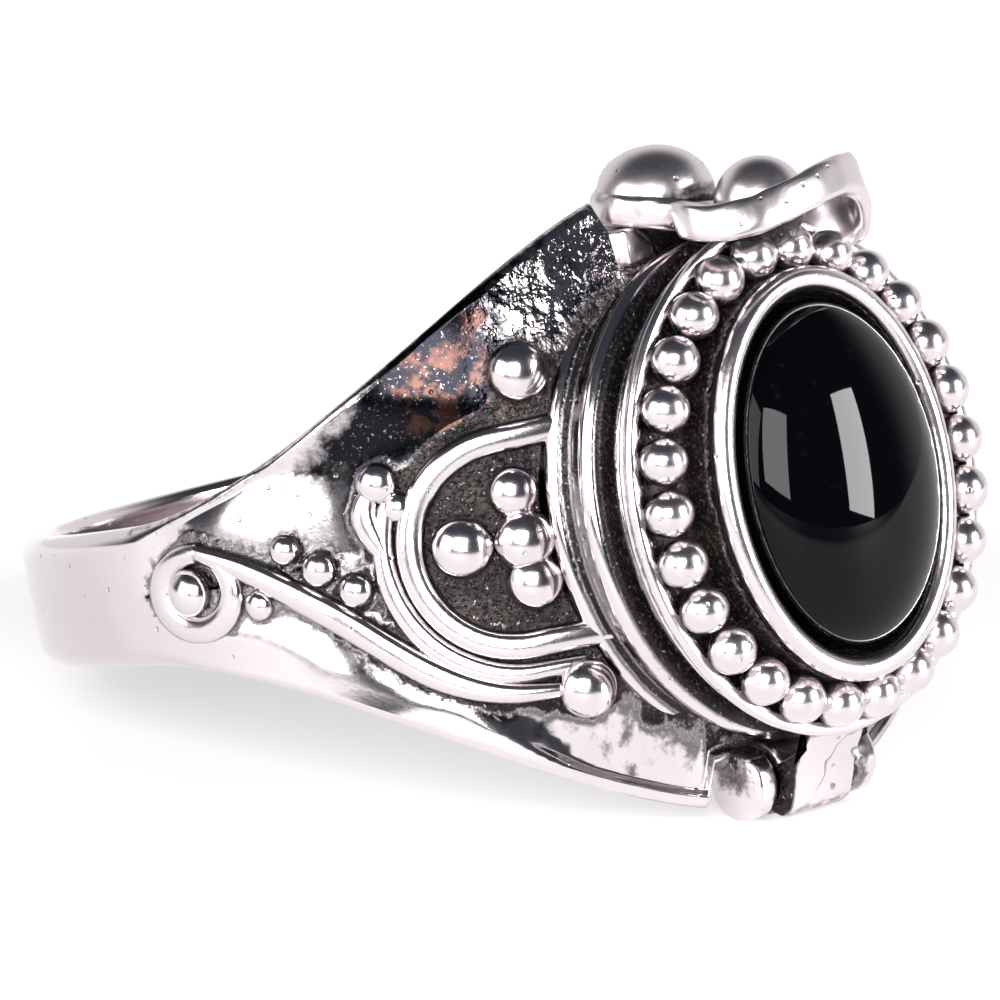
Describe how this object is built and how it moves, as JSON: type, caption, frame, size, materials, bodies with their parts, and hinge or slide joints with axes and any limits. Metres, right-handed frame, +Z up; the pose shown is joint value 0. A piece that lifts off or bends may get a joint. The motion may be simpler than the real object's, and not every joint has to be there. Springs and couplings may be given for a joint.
{
  "type": "locket ring",
  "caption": "Finger ring with flared, scroll-worked shoulders and a shallow oval box; its beaded lid carries a domed black stone and opens on a three-knuckle hinge",
  "frame": {"origin": "centre of the bounding box on the surface the ring lies on", "axes": "+X from the back of the shank towards the stone, +Y across the finger along the hinge pin, +Z up; the finger hole leans 17.15 degrees back from +Z because the ring lies on its hinge and on the back of its shank"},
  "size_m": [0.0246, 0.0208, 0.0151],
  "materials": {
    "metal_band": "polished silver plate, blackened in the recesses",
    "metal_lid": "polished silver plate, blackened between the beads",
    "stone": "polished opaque black stone",
    "metal_pin": "plain drawn wire, cut flush"
  },
  "bodies": {
    "ring": {"band": "metal_band", "hinge_pin": "metal_pin"},
    "lid": {"lid": "metal_lid", "stone": "stone"}
  },
  "joints": [
    {"name": "lid_hinge", "type": "hinge", "parent": "ring", "child": "lid", "pos_m": [0.00915, 0, 0.00085], "axis": [0, 1, 0], "range_deg": [0, 110]}
  ]
}
